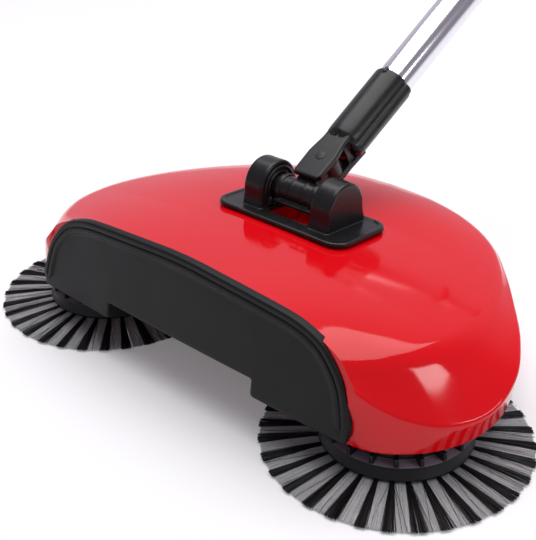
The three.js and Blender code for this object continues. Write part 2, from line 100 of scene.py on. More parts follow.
# ---- materials -----------------------------------------------------------------------------------
def material(name, colour, roughness, metallic=0.0, grain=None, mottle=None, **sockets):
    """A Principled surface. grain is (size mm, height mm) of the fine surface bump, mottle is
    (size mm, second colour, roughness swing) of the slow variation over the piece."""
    made = bpy.data.materials.new(name)
    made.use_nodes = True
    tree = made.node_tree
    shader = tree.nodes["Principled BSDF"]
    shader.inputs["Base Color"].default_value = (*colour, 1)
    shader.inputs["Roughness"].default_value = roughness
    shader.inputs["Metallic"].default_value = metallic
    for socket, value in sockets.items():
        shader.inputs[socket.replace("_", " ")].default_value = value
    place = tree.nodes.new("ShaderNodeTexCoord").outputs["Object"]

    def noise(size, detail=3.0):
        """The output of a noise of about this size in millimetres."""
        node = tree.nodes.new("ShaderNodeTexNoise")
        node.inputs["Scale"].default_value = 1 / (size * MM)
        node.inputs["Detail"].default_value = detail
        tree.links.new(place, node.inputs["Vector"])
        return node.outputs["Fac"]

    if grain:
        size, height = grain
        bump = tree.nodes.new("ShaderNodeBump")
        bump.inputs["Strength"].default_value = 1.0
        bump.inputs["Distance"].default_value = height * MM
        tree.links.new(noise(size), bump.inputs["Height"])
        tree.links.new(bump.outputs["Normal"], shader.inputs["Normal"])
    if mottle:
        size, second, swing = mottle
        slow = noise(size, 5.0)
        mix = tree.nodes.new("ShaderNodeMix")
        mix.data_type = "RGBA"
        mix.inputs["A"].default_value = (*colour, 1)
        mix.inputs["B"].default_value = (*second, 1)
        tree.links.new(slow, mix.inputs["Factor"])
        tree.links.new(mix.outputs["Result"], shader.inputs["Base Color"])
        spread = tree.nodes.new("ShaderNodeMapRange")
        spread.inputs["From Min"].default_value = 0.3
        spread.inputs["From Max"].default_value = 0.7
        spread.inputs["To Min"].default_value = max(0.0, roughness - swing)
        spread.inputs["To Max"].default_value = roughness + swing
        tree.links.new(slow, spread.inputs["Value"])
        tree.links.new(spread.outputs["Result"], shader.inputs["Roughness"])
    return made


RED = material("gloss_red", (0.74, 0.003, 0.008), 0.085, grain=(9, 0.004),
               mottle=(60, (0.70, 0.0025, 0.007), 0.012), Specular_IOR_Level=0.36)
DARK_RED = material("satin_red", (0.30, 0.004, 0.008), 0.33, grain=(1.2, 0.01),
                    mottle=(30, (0.25, 0.003, 0.006), 0.05))
PANEL = material("panel_black", (0.0065, 0.0062, 0.0065), 0.42, grain=(0.7, 0.010),
                 mottle=(25, (0.009, 0.0087, 0.009), 0.05), Specular_IOR_Level=0.2)
FITTING = material("fitting_black", (0.0075, 0.0075, 0.0078), 0.30, grain=(0.8, 0.006),
                   mottle=(14, (0.012, 0.012, 0.0125), 0.06), Specular_IOR_Level=0.4)
HUB = material("hub_black", (0.006, 0.006, 0.0065), 0.36, grain=(0.9, 0.008),
               mottle=(18, (0.010, 0.010, 0.0105), 0.05), Specular_IOR_Level=0.45)
# Painted sheen: this pale lilac-grey goes on the black hub's flange top between the ribs, in place of
# the light that falls there.
FLANGE_SHEEN = material("flange_painted_sheen", (0.36, 0.31, 0.38), 0.45, grain=(0.9, 0.01),
                  mottle=(12, (0.28, 0.25, 0.31), 0.05))
GRIP = material("grip_black", (0.018, 0.018, 0.019), 0.62, grain=(0.5, 0.03),
                mottle=(20, (0.026, 0.026, 0.027), 0.07))
RUBBER = material("rubber", (0.02, 0.02, 0.021), 0.75, grain=(0.8, 0.03),
                  mottle=(10, (0.035, 0.034, 0.033), 0.08))
WHITE = material("bush_white", (0.66, 0.65, 0.61), 0.42, grain=(0.9, 0.01),
                 mottle=(12, (0.58, 0.57, 0.52), 0.06), Subsurface_Weight=0.1)
BIN = material("bin_grey", (0.030, 0.031, 0.033), 0.26, grain=(1.2, 0.006),
               mottle=(30, (0.040, 0.041, 0.044), 0.05))
STEEL = material("steel", (0.52, 0.52, 0.53), 0.24, 1.0, grain=(0.5, 0.006),
                 mottle=(6, (0.42, 0.42, 0.43), 0.08))
TUBE = material("bright_tube", (0.88, 0.875, 0.90), 0.17, 1.0, grain=(14, 0.003),
                mottle=(40, (0.82, 0.81, 0.87), 0.025), Anisotropic=0.3)
BLACK_HAIR = material("bristle_black", (0.004, 0.004, 0.004), 0.42,
                      mottle=(4, (0.009, 0.009, 0.009), 0.08), Specular_IOR_Level=0.3)
GREY_HAIR = material("bristle_grey", (0.42, 0.42, 0.43), 0.5,
                     mottle=(3, (0.60, 0.60, 0.61), 0.1))


# ---- mesh code: a shape is (points, faces), its points Vectors in millimetres --------------------
def joined(*shapes):
    """Several shapes as one."""
    points, faces = [], []
    for some_points, some_faces in shapes:
        base = len(points)
        points += some_points
        faces += [[base + i for i in face] for face in some_faces]
    return points, faces


def turn_axis(radial, along, angle, axis):
    """A point `radial` from the axis and `along` it, with the axis along X, Y or Z."""
    a, b = radial * math.cos(angle), radial * math.sin(angle)
    return Vector({"x": (along, a, b), "y": (b, along, a), "z": (a, b, along)}[axis])


def lathe(profile, axis="z", n=72, radius=None):
    """A closed [radius, height] profile turned about an axis. radius(angle, r, h) may change r."""
    points, faces = [], []
    for i in range(n):
        angle = 2 * math.pi * i / n
        for r, h in profile:
            points.append(turn_axis(radius(angle, r, h) if radius else r, h, angle, axis))
    m = len(profile)
    for i in range(n):
        for j in range(m):
            k = (j + 1) % m
            faces.append([i * m + j, i * m + k, (i + 1) % n * m + k, (i + 1) % n * m + j])
    return points, faces


def rounded(profile, r, steps=4):
    """The closed outline with each corner rounded by up to r."""
    out = []
    n = len(profile)
    for i, here in enumerate(profile):
        here = Vector(here)
        before, after = Vector(profile[i - 1]) - here, Vector(profile[(i + 1) % n]) - here
        cap = min(r, before.length * 0.45, after.length * 0.45)
        if here.x == 0 and (before.x == 0 or after.x == 0) or cap < 1e-6:
            out.append(tuple(here))
            continue
        a, b = here + before.normalized() * cap, here + after.normalized() * cap
        for k in range(steps + 1):
            t = k / steps
            out.append(tuple((1 - t) ** 2 * a + 2 * t * (1 - t) * here + t ** 2 * b))
    return out


def arc(cx, cy, r, start, end, n=12):
    """Points of an arc about (cx, cy), from start to end degrees."""
    turns = [math.radians(start + (end - start) * i / n) for i in range(n + 1)]
    return [(cx + r * math.cos(t), cy + r * math.sin(t)) for t in turns]


def round_rect(x0, x1, y0, y1, r, n=8):
    """The outline of a rectangle with corners of radius r."""
    return (arc(x1 - r, y1 - r, r, 0, 90, n) + arc(x0 + r, y1 - r, r, 90, 180, n)
            + arc(x0 + r, y0 + r, r, 180, 270, n) + arc(x1 - r, y0 + r, r, 270, 360, n))


def inset(outline, d):
    """A convex or nearly convex outline, given counter-clockwise, drawn in by d."""
    out = []
    n = len(outline)
    for i, (x, y) in enumerate(outline):
        a = (Vector((x, y)) - Vector(outline[i - 1])).normalized()
        b = (Vector(outline[(i + 1) % n]) - Vector((x, y))).normalized()
        side = Vector((-a.y - b.y, a.x + b.x))
        grow = max(0.4, side.length / 2)
        move = side.normalized() * d / grow
        out.append((x + move.x, y + move.y))
    return out


def slab(outline, h0, h1, axis="z", soften=0.6, steps=3):
    """An outline pushed along an axis, with its two edges rounded by `soften`.
    Outline points are (x, y), (y, z) or (x, z)."""
    clean = [p for i, p in enumerate(outline)
             if (Vector(p) - Vector(outline[i - 1])).length > 1e-4]
    area = sum(a[0] * b[1] - b[0] * a[1] for a, b in zip(clean, clean[1:] + clean[:1]))
    if area < 0:
        clean.reverse()
    rings = []
    turns = [math.pi / 2 * k / steps for k in range(steps + 1)]
    for t in turns:
        rings.append((soften * (1 - math.sin(t)), h0 + soften * (1 - math.cos(t))))
    for t in reversed(turns):
        rings.append((soften * (1 - math.sin(t)), h1 - soften * (1 - math.cos(t))))
    points, faces = [], []
    for d, h in rings:
        for a, b in inset(clean, d):
            points.append(Vector({"z": (a, b, h), "x": (h, a, b), "y": (a, h, b)}[axis]))
    m = len(clean)
    for i in range(len(rings) - 1):
        for j in range(m):
            k = (j + 1) % m
            faces.append([i * m + j, i * m + k, (i + 1) * m + k, (i + 1) * m + j])
    faces.append(list(range(m))[::-1])
    faces.append([(len(rings) - 1) * m + j for j in range(m)])
    return points, faces


def moved(shape, x=0, y=0, z=0):
    """The shape shifted by x, y and z."""
    return [p + Vector((x, y, z)) for p in shape[0]], shape[1]


def mirrored(shape):
    """The shape of the other side, with its faces turned back to point out."""
    return [Vector((-p.x, p.y, p.z)) for p in shape[0]], [face[::-1] for face in shape[1]]


def on_handle(shape):
    """From the handle's own frame (Y up the handle, Z along the swing pin) to the object's."""
    turn = Matrix.Rotation(LEAN, 3, "X")
    return [turn @ p + SWING for p in shape[0]], shape[1]


def to_mesh(name, shape, weld=True):
    """A Blender mesh of the shape, placed in the object's frame."""
    mesh = bpy.data.meshes.new(name)
    mesh.from_pydata([p * MM + ORIGIN for p in shape[0]], [], shape[1])
    if weld:
        edit = bmesh.new()
        edit.from_mesh(mesh)
        bmesh.ops.remove_doubles(edit, verts=edit.verts, dist=0.002 * MM)
        bmesh.ops.recalc_face_normals(edit, faces=edit.faces)
        edit.to_mesh(mesh)
        edit.free()
    return mesh


def linked(name, data):
    """A new object in the scene that holds the data."""
    obj = bpy.data.objects.new(name, data)
    scene.collection.objects.link(obj)
    return obj


def finished(obj, surface, body, slot, *nodes, crease=38):
    """Gives a mesh object its looks and its place in the frame."""
    mesh = obj.data
    if surface:
        mesh.materials.clear()
        mesh.materials.append(surface)
    mesh.polygons.foreach_set("use_smooth", [True] * len(mesh.polygons))
    mesh.set_sharp_from_angle(angle=math.radians(crease))
    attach(obj, body)
    if nodes:
        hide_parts(*nodes)
    return obj


def piece(name, shape, surface, body, slot, *nodes, crease=38, weld=True):
    """One visual piece made straight from a shape."""
    obj = linked(name, to_mesh(name, shape, weld))
    return finished(obj, surface, body, slot, *nodes, crease=crease)


def apply_modifiers(obj):
    """Replaces the object's mesh with what its modifiers make of it."""
    bpy.context.view_layer.update()
    evaluated = obj.evaluated_get(bpy.context.evaluated_depsgraph_get())
    mesh = bpy.data.meshes.new_from_object(evaluated)
    obj.modifiers.clear()
    obj.data = mesh


def broken_edges(obj, width, segments, angle):
    """Adds a bevel to every edge sharper than the angle."""
    edge = obj.modifiers.new("edge", "BEVEL")
    edge.width = width * MM
    edge.segments = segments
    edge.limit_method = "ANGLE"
    edge.angle_limit = math.radians(angle)


def cut_from(obj, tool, operation="DIFFERENCE"):
    """Cuts a shape out of an object, or keeps only what lies inside it."""
    cutter = linked(obj.name + "_cut", to_mesh(obj.name + "_cut", tool))
    cut = obj.modifiers.new("cut", "BOOLEAN")
    cut.operation = operation
    cut.solver = "EXACT"
    cut.use_self = True
    cut.object = cutter
    apply_modifiers(obj)
    bpy.data.objects.remove(cutter)


def carved(name, body, *tools):
    """The body with each tool cut out of it, as an object."""
    obj = linked(name, to_mesh(name, body))
    for tool in tools:
        cut_from(obj, tool)
    return obj


def moulded(name, body, tools, surface, rides, slot, *nodes, voxel=0.45, passes=3):
    """Overlapping solids moulded into one skin with soft edges, as an injection-moulded piece."""
    obj = carved(name, body, *tools)
    skin = obj.modifiers.new("skin", "REMESH")
    skin.mode = "VOXEL"
    skin.voxel_size = voxel * MM
    smooth = obj.modifiers.new("smooth", "SMOOTH")
    smooth.factor = 0.5
    smooth.iterations = passes
    apply_modifiers(obj)
    return finished(obj, surface, rides, slot, *nodes, crease=180)


def soft_cad(node, surface, width=0.35, crease=30):
    """A CAD node shown as it is, with its edges broken."""
    obj = frame["nodes"][node]
    obj.data.materials.clear()
    obj.data.materials.append(surface)
    broken_edges(obj, width, 2, crease)


# ---- hood surface --------------------------------------------------------------------------------
SKIRT_Z = 25
SKIRT = [(122, -49), (139.5, -45.5), (153.5, -36.5), (167, -20.5), (175.5, 2), (175.5, 28),
         (166, 56), (146, 84), (125, 110), (102, 135), (70, 156), (35, 166), (0, 169)]
CREASE = [(125.5, -51.5, 65), (140, -43.5, 53.5), (156, -32.5, 45), (172, -16, 40.5),
          (181.5, 5, 42.5), (180, 31, 51), (167, 56, 57.5), (146, 84, 60), (125, 110, 60.5),
          (102, 135, 60), (70, 156, 59), (35, 166, 58.5), (0, 169, 58.5)]
SHOULDER = [(120, -47, 73), (128, -38, 72), (138, -24, 72), (146, -8, 71.5), (150, 12, 70.5),
            (150, 34, 69), (144, 61, 67.5), (132, 90, 66), (115, 116, 65), (95, 136, 65),
            (67, 152, 65.5), (35, 161, 66), (0, 164, 66)]
FAN_Y = 90  # behind this line the rows of the hood converge on one point
CROWN = {"y": -46, "z": 88.5, "fall": 0.085}  # the front of the ridge, and its slope to the back
HOOD_WALL, HOOD_EDGE = 2.3, 0.7


def crown_height(y):
    """Height of the hood's ridge."""
    return CROWN["z"] - CROWN["fall"] * (y - CROWN["y"])


def on_curve(points, u):
    """A smooth curve through the points, u from 0 to 1, with centripetal spacing."""
    pts = [Vector((*p, SKIRT_Z)[:3]) for p in points]
    place = min(u * (len(pts) - 1), len(pts) - 1 - 1e-9)
    i, t = int(place), place - int(place)
    p1, p2 = pts[i], pts[i + 1]
    p0 = pts[i - 1] if i else 2 * p1 - p2
    p3 = pts[i + 2] if i + 2 < len(pts) else 2 * p2 - p1
    d0, d1, d2 = (math.sqrt((b - a).length) for a, b in ((p0, p1), (p1, p2), (p2, p3)))
    m1 = ((p1 - p0) / d0 - (p2 - p0) / (d0 + d1) + (p2 - p1) / d1) * d1
    m2 = ((p2 - p1) / d1 - (p3 - p1) / (d1 + d2) + (p3 - p2) / d2) * d1
    return ((2 * t ** 3 - 3 * t ** 2 + 1) * p1 + (t ** 3 - 2 * t ** 2 + t) * m1
            + (-2 * t ** 3 + 3 * t ** 2) * p2 + (t ** 3 - t ** 2) * m2)


def eased(a, b, c, steps):
    """Points that round the corner b between a and c."""
    ts = [k / steps for k in range(steps + 1)]
    return [(1 - t) ** 2 * a + 2 * t * (1 - t) * b + t ** 2 * c for t in ts]


def hood_row(u):
    """One row of the outer surface, from the lower edge over crease and shoulder to the ridge."""
    skirt, crease, shoulder = (on_curve(line, u) for line in (SKIRT, CREASE, SHOULDER))
    bow = lambda k: crease.lerp(shoulder, k) - Vector((0, 0, 3.2 * k * (1 - k)))
    ridge = Vector((0, min(shoulder.y, FAN_Y), 0))
    top = crown_height(ridge.y)
    boxy = 4.6 + (2.6 - 4.6) * min(1, u * 3)

    def crown(k):
        """A point of the crown, k from 0 at the ridge to 1 at the shoulder."""
        p = ridge.lerp(shoulder, k)
        p.z = shoulder.z + (top - shoulder.z) * (1 - k ** boxy)
        return p

    reach = (crease - skirt).length
    row = [skirt.lerp(crease, k) for k in (0, 0.04, 0.3, 0.6, 1 - 3.4 / reach)]
    over = 2.4 / (shoulder - crease).length
    row += eased(skirt.lerp(crease, 1 - 2.2 / reach), crease, bow(over), 6)
    row += [bow(over + (0.70 - over) * k / 6) for k in range(1, 7)]
    row += eased(bow(0.8), shoulder, crown(0.955), 9)
    row += [crown(1 - x) for x in (0.06, 0.08, 0.11, 0.15, 0.20, 0.26, 0.33, 0.41, 0.50, 0.60, 0.7,
                                   0.8, 0.9)]
    row.append(crown(0))
    return row


# ---- front panel outline -------------------------------------------------------------------------
PANEL_TOP = [(0, 91.5), (14, 91.2), (28, 90.4), (45, 89.4), (60, 88.4), (76, 87.2), (88, 85.8),
             (98, 83.3), (107, 79.3), (113, 74.6), (118, 69.4), (122, 64.2), (125, 58.6), (127, 53),
             (128.6, 47), (129.8, 42), (130.6, 37.4), (130.5, 32.5), (130, 30)]
PANEL_FOOT = [(129.5, 28.5), (62.3, 28.5), (62.3, 39.2), (0, 39.2)]
PANEL_T = 5
GAP = 0.3


PANEL_AT = {"y": -55.4, "z": 40, "bow": 0.000124, "lean": 0.173}


def panel_face(x, z):
    """How far forward the leaning, slightly bowed face of the panel lies."""
    return PANEL_AT["y"] + PANEL_AT["bow"] * x * x + PANEL_AT["lean"] * (z - PANEL_AT["z"])


def resampled(line, step):
    """The open line as points at an even spacing near `step`."""
    lengths = [(b - a).length for a, b in zip(line, line[1:])]
    count = max(1, round(sum(lengths) / step))
    out, walked, i = [], 0.0, 0
    for k in range(count + 1):
        goal = sum(lengths) * k / count
        while i < len(lengths) - 1 and walked + lengths[i] < goal:
            walked += lengths[i]
            i += 1
        out.append(line[i].lerp(line[i + 1], min(1, (goal - walked) / lengths[i])))
    return out


def panel_outline():
    """The closed [x, z] outline, counter-clockwise."""
    crown = [on_curve([(x, 0, z) for x, z in PANEL_TOP], i / 240) for i in range(241)]
    line = [Vector((p.x, p.z)) for p in crown]
    foot = [Vector(p) for p in PANEL_FOOT]
    for corner, reach in ((0, 1.6), (1, 3.2), (2, 0.8)):
        before = foot[corner - 1] if corner else line[-1]
        here, after = foot[corner], foot[corner + 1]
        a = here + (before - here).normalized() * min(reach, (before - here).length * 0.9)
        b = here + (after - here).normalized() * reach
        line += eased(a, here, b, 6)
    line.append(foot[-1])
    half = resampled(line, 1.0)
    return half[::-1] + [Vector((-p.x, p.y)) for p in half[1:-1]]


def panel_room():
    """The space the panel and its gap take out of the hood's front edge."""
    loop = panel_outline()
    points, faces = [], []
    n = len(loop)
    for y in (-70, PANEL_T + GAP):
        for i, p in enumerate(loop):
            along = (loop[(i + 1) % n] - loop[i - 1]).normalized()
            q = p + Vector((along.y, -along.x)) * GAP
            points.append(Vector((q.x, y if y < 0 else panel_face(q.x, q.y) + y, q.y)))
    faces = [[j, (j + 1) % n, n + (j + 1) % n, n + j] for j in range(n)]
    return points, faces + [list(range(n)), list(range(n, 2 * n))[::-1]]


def behind_panel(y0, y1):
    """Everything from y0 to y1 behind the panel's face, as a bowed slab wider than the hood."""
    xs = [-210 + 15 * i for i in range(29)]
    points = [Vector((x, panel_face(x, z) + y, z)) for y in (y0, y1) for z in (0, 120) for x in xs]
    n = len(xs)
    faces = []
    for i in range(n - 1):
        for a, b in ((0, n), (n, 3 * n), (3 * n, 2 * n), (2 * n, 0)):
            faces.append([a + i, a + i + 1, b + i + 1, b + i])
    faces.append([0, n, 3 * n, 2 * n])
    faces.append([n - 1, 3 * n - 1, 4 * n - 1, 2 * n - 1][::-1])
    return points, faces


def drawn_in(loop, d):
    """The dense loop moved inwards by d. Where a corner would fold over, its points share a line
    between the last good points on either side."""
    n = len(loop)
    moved_to, good = [], []
    for i, p in enumerate(loop):
        along = (loop[(i + 1) % n] - loop[i - 1]).normalized()
        q = p + Vector((-along.y, along.x)) * d
        moved_to.append(q)
        good.append(all((q - other).length > d - 0.2 for other in loop))
    out = list(moved_to)
    for i in range(n):
        if not good[i]:
            a = next(k for k in range(1, n) if good[i - k])
            b = next(k for k in range(1, n) if good[(i + k) % n])
            out[i] = moved_to[i - a].lerp(moved_to[(i + b) % n], a / (a + b))
    return out


FLANGE = {"y0": 2, "y1": 4.4, "rows": 50}  # y0 and y1 behind the panel's face
FLANGE_START = {"x": 110, "z": 62}  # below this height the flange starts this far from the middle
FLANGE_FIT = {"x": 0.9972, "z": 0.9935, "y": 0.15}  # keeps it just inside the hood's skin
WELL = {"x": 17, "y0": 47, "y1": 78, "z": 66}
BIN_HALF, BIN_TOP = 72, 50
BIN_ROOM = 0.5
HOOD_STEPS = 110
HOOD_ROWS = [hood_row((i / HOOD_STEPS) ** 1.15) for i in range(HOOD_STEPS + 1)]


def arched(rows):
    """The half rows as arches from side to side: (points, faces, points in one arch)."""
    arches = [[Vector((-p.x, p.y, p.z)) for p in row] + row[-2::-1] for row in rows]
    m = len(arches[0])
    faces = [[i * m + j, (i + 1) * m + j, (i + 1) * m + j + 1, i * m + j + 1]
             for i in range(len(arches) - 1) for j in range(m - 1)]
    return [p for arch in arches for p in arch], faces, m


def hood():
    """The red shell, open below, with its well, bin opening and front edge cut out."""
    points, faces, _ = arched(HOOD_ROWS)
    mesh = bpy.data.meshes.new("top_shell_skin")
    mesh.from_pydata(points, [], faces)
    edit = bmesh.new()
    edit.from_mesh(mesh)
    everything = lambda: edit.verts[:] + edit.edges[:] + edit.faces[:]
    bmesh.ops.remove_doubles(edit, verts=edit.verts, dist=0.01)
    for x, y, z, way in ((WELL["x"], 0, 0, (1, 0, 0)), (-WELL["x"], 0, 0, (1, 0, 0)),
                         (0, WELL["y0"], 0, (0, 1, 0)), (0, WELL["y1"], 0, (0, 1, 0)),
                         (BIN_HALF + BIN_ROOM, 0, 0, (1, 0, 0)),
                         (-BIN_HALF - BIN_ROOM, 0, 0, (1, 0, 0)),
                         (0, 0, BIN_TOP + BIN_ROOM, (0, 0, 1))):
        bmesh.ops.bisect_plane(edit, geom=everything(), plane_co=(x, y, z), plane_no=way)
    gone = []
    for face in edit.faces:
        x, y, z = face.calc_center_median()
        in_well = abs(x) < WELL["x"] and WELL["y0"] < y < WELL["y1"] and z > WELL["z"]
        in_mouth = abs(x) < BIN_HALF + BIN_ROOM and y > FAN_Y and z < BIN_TOP + BIN_ROOM
        if in_well or in_mouth:
            gone.append(face)
    bmesh.ops.delete(edit, geom=gone, context="FACES")
    bmesh.ops.recalc_face_normals(edit, faces=edit.faces)
    if sum(face.normal.z for face in edit.faces) < 0:
        bmesh.ops.reverse_faces(edit, faces=edit.faces)
    for vert in edit.verts:
        vert.co = vert.co * MM + ORIGIN
    edit.to_mesh(mesh)
    edit.free()
    obj = linked("top_shell_skin", mesh)
    thick = obj.modifiers.new("thick", "SOLIDIFY")
    thick.thickness = HOOD_WALL * MM
    thick.offset = -1
    thick.use_even_offset = False
    apply_modifiers(obj)
    broken_edges(obj, HOOD_EDGE, 3, 60)
    apply_modifiers(obj)
    cut_from(obj, behind_panel(-60, FLANGE["y0"]))
    cut_from(obj, panel_room())
    finished(obj, RED, "body", "hood_red", "top_shell", crease=50)


def hood_flange():
    """The two ends that close the hood beside the panel."""
    fit = FLANGE_FIT
    inner = [[Vector((p.x * fit["x"], p.y, p.z * fit["z"])) for p in row]
             for row in HOOD_ROWS[:FLANGE["rows"]]]
    points, faces, m = arched(inner)
    last = (len(inner) - 1) * m
    faces += [[i, i + m - 1, i + 2 * m - 1, i + m] for i in range(0, last, m)]
    faces += [list(range(m)), list(range(last, last + m))[::-1]]
    obj = carved("top_shell_flange", (points, faces))
    cut_from(obj, behind_panel(FLANGE["y0"] + fit["y"], FLANGE["y1"]), "INTERSECT")
    x = FLANGE_START["x"]
    cut_from(obj, slab([(-x, -90), (x, -90), (x, 0), (-x, 0)], 0, FLANGE_START["z"], "z", 0.1))
    cut_from(obj, panel_room())
    finished(obj, RED, "body", "hood_red", crease=30)


hood()
hood_flange()
well_wall = round_rect(-WELL["x"] - 2, WELL["x"] + 2, WELL["y0"] - 2, WELL["y1"] + 2, 1.0)
well_room = round_rect(-WELL["x"], WELL["x"], WELL["y0"], WELL["y1"], 2.0)
well = carved("top_shell_well", slab(well_wall, WELL["z"] - 2, 77.5, soften=0.2),
              slab(well_room, WELL["z"], 90, soften=0.8))
finished(well, RED, "body", "hood_red")
piece("top_shell_boss", moved(lathe(rounded([(2.2, WELL["z"] - 1), (5, WELL["z"] - 1),
      (5, WELL["z"] + 6), (2.2, WELL["z"] + 6)], 0.4)), 6, PIVOT.y),
      RED, "body", "hood_red")


def front_panel():
    """The black panel: a raised rim round the top and sides, a plain foot and a bowed field."""
    loop = panel_outline()
    n = len(loop)
    foot = []  # 1 along the foot, 0 where the raised rim runs, eased between the two
    for p in loop:
        foot.append(min(1.0, max(0.0, (37.5 - p.y) / 5)) if abs(p.x) > 120 else float(p.y < 60))
    # (distance in from the edge, depth of the rim, depth of the foot) of each ring
    rings = [(2.0, PANEL_T, PANEL_T), (0.0, PANEL_T, PANEL_T), (0.0, 1.1, 2.2), (0.16, 0.62, 1.7),
             (0.5, 0.2, 1.35), (1.1, 0.0, 1.2), (3.0, 0.0, 1.2), (3.4, 0.15, 1.2),
             (3.7, 0.8, 1.2), (4.3, 0.8, 1.2), (4.6, 0.2, 1.2), (5.0, 0.05, 1.2), (7.2, 0.1, 1.2),
             (7.8, 0.3, 1.2), (8.4, 0.9, 1.2), (9.0, 1.2, 1.2), (10.5, 1.2, 1.2)]
    points, faces = [], []
    for d, rim, flat in rings:
        for q, low in zip(drawn_in(loop, d) if d else loop, foot):
            depth = rim + (flat - rim) * low
            points.append(Vector((q.x, panel_face(q.x, q.y) + depth, q.y)))
    for i in range(len(rings) - 1):
        for j in range(n):
            k = (j + 1) % n
            faces.append([i * n + j, i * n + k, (i + 1) * n + k, (i + 1) * n + j])
    faces.append([(len(rings) - 1) * n + j for j in range(n)])
    mesh = to_mesh("front_panel_skin", (points, faces))
    edit = bmesh.new()
    edit.from_mesh(mesh)
    field = max(edit.faces, key=lambda face: face.calc_area())
    border = set(field.verts)
    bmesh.ops.triangulate(edit, faces=[field])
    inner = [f for f in edit.faces if set(f.verts) <= border and len(f.verts) == 3]
    geom = inner + list({e for f in inner for e in f.edges}) + list(border)
    for step in range(-11, 12):
        cut = bmesh.ops.bisect_plane(edit, geom=geom, plane_co=(step * 10 * MM, 0, 0),
                                     plane_no=(1, 0, 0))
        geom = cut["geom"]
        for item in cut["geom_cut"]:
            if isinstance(item, bmesh.types.BMVert) and item not in border:
                p = (item.co - ORIGIN) / MM  # the new point goes on the bowed face
                item.co.y = (panel_face(p.x, p.z) + 1.2) * MM + ORIGIN.y
    edit.to_mesh(mesh)
    edit.free()
    obj = linked("front_panel_skin", mesh)
    finished(obj, PANEL, "body", "panel_black", "front_panel", crease=50)


front_panel()
soft_cad("chassis", DARK_RED, 0.3, 40)

# ---- brushes -------------------------------------------------------------------------------------
TUFTS = 32
HUB_TEETH = 20
BLACK_TUFT = {"count": 120, "root": 0.022, "tip": 0.036, "reach": 79.6, "ragged": 0.9,
              "root_z": 3.7, "tip_z": 1.2, "radius": 0.17}  # root and tip: half widths in radians
GREY_TUFT = {"count": 190, "root": 0.086, "tip": 0.076, "reach": 78.4, "ragged": 0.7,
             "root_z": 2.8, "tip_z": 0.7, "radius": 0.15}
ROOT_R = 41
HUB_TURNING = lathe(rounded(
    [(3.56, 7), (9, 7), (9, 9), (38, 9), (40, 4.8), (45, 4.8), (45, 6.2), (40.8, 12.2), (44.4, 13),
     (44.4, 14), (37, 14), (37, 19), (35, 19), (35, 11.6), (9, 11.6), (8, 24), (3.56, 24)], 0.35, 3),
    "z", 144)


def turned_about_z(shape, angle):
    """The shape turned about the brush's own axis."""
    turn = Matrix.Rotation(angle, 3, "Z")
    return [turn @ p for p in shape[0]], shape[1]


def hub_shape():
    """The brush hub with the ribs that its pinion drives."""
    rib = slab([(-1.3, 13.8), (1.3, 13.8), (0.9, 19.4), (-0.9, 19.4)], 37.2, 44.2, "y", 0.25)
    ribs = [turned_about_z(rib, 2 * math.pi * i / HUB_TEETH) for i in range(HUB_TEETH)]
    return joined(HUB_TURNING, *ribs)


def strand(rng, points, faces, root, tip, sag, radius):
    """One bristle from root to tip, three-sided, bending down by `sag` along its length."""
    along = (tip - root).normalized()
    side = along.cross(Vector((0, 0, 1))).normalized()
    up = side.cross(along)
    twist = rng.uniform(0, 2 * math.pi)
    drift = rng.gauss(0, 0.35)
    first = len(points)
    stations = (0, 0.4, 0.75, 1)
    for t in stations:
        centre = root.lerp(tip, t) + up * (sag * 4 * t * (1 - t)) + side * (drift * t * t)
        thin = radius * (1 - 0.35 * t * t)
        for k in range(3):
            a = twist + 2 * math.pi * k / 3
            points.append(centre + (side * math.cos(a) + up * math.sin(a)) * thin)
    for s in range(len(stations) - 1):
        for k in range(3):
            a, b = first + s * 3 + k, first + s * 3 + (k + 1) % 3
            faces.append([a, b, b + 3, a + 3])
    last = first + 3 * (len(stations) - 1)
    faces.append([last, last + 1, last + 2])


def bristles(rng, tuft):
    """All the tufts of one colour on one brush. The black ones are ragged, between the grey."""
    points, faces = [], []
    dark = tuft is BLACK_TUFT
    pitch = 2 * math.pi / TUFTS
    for i in range(TUFTS):
        middle_angle = i * pitch + (0 if dark else pitch / 2)
        lean = rng.gauss(0, 0.008)
        tip_half = tuft["tip"]
        if dark:
            tip_half *= rng.uniform(0.8, 1.35)
        for _ in range(tuft["count"]):
            across = rng.uniform(-1, 1)
            level = rng.uniform(0, 1)
            root_angle = middle_angle + tuft["root"] * across
            tip_angle = middle_angle + lean + tip_half * across + rng.gauss(0, 0.006)
            if dark and rng.random() < 0.04:
                tip_angle += rng.gauss(0, 0.06)
            reach = tuft["reach"] - abs(rng.gauss(0, tuft["ragged"]))
            root_z = tuft["root_z"] + 0.9 * level
            tip_z = tuft["tip_z"] + 0.9 * level
            root = Vector((ROOT_R * math.cos(root_angle), ROOT_R * math.sin(root_angle), root_z))
            tip = Vector((reach * math.cos(tip_angle), reach * math.sin(tip_angle), tip_z))
            strand(rng, points, faces, root, tip, rng.uniform(0, 0.35), tuft["radius"])
    return points, faces


rng = random.Random(11)
for prefix, side in SIDES:
    body = prefix + "brush"
    centre = Vector((side * BRUSH.x, BRUSH.y, 0))
    hub = piece(prefix + "brush_hub_skin", moved(hub_shape(), *centre), HUB, body,
                "fitting_black", prefix + "brush_hub")
    # The flange top between the ribs gets the pale lilac-grey: a painted sheen standing in for light on
    # the black hub.
    hub.data.materials.append(FLANGE_SHEEN)
    for face in hub.data.polygons:
        spot = (face.center - ORIGIN) / MM - centre
        away = math.hypot(spot.x, spot.y)
        if 36.5 < away < 44.2 and 13.9 < spot.z < 14.1:
            face.material_index = 1
    piece(prefix + "tufts_black", moved(bristles(rng, BLACK_TUFT), *centre), BLACK_HAIR, body,
          "bristle_grey", prefix + "bristles", weld=False)
    piece(prefix + "tufts_grey", moved(bristles(rng, GREY_TUFT), *centre), GREY_HAIR, body,
          "bristle_grey", weld=False)
    soft_cad(prefix + "brush_post", STEEL)
    soft_cad(prefix + "brush_screw", STEEL)

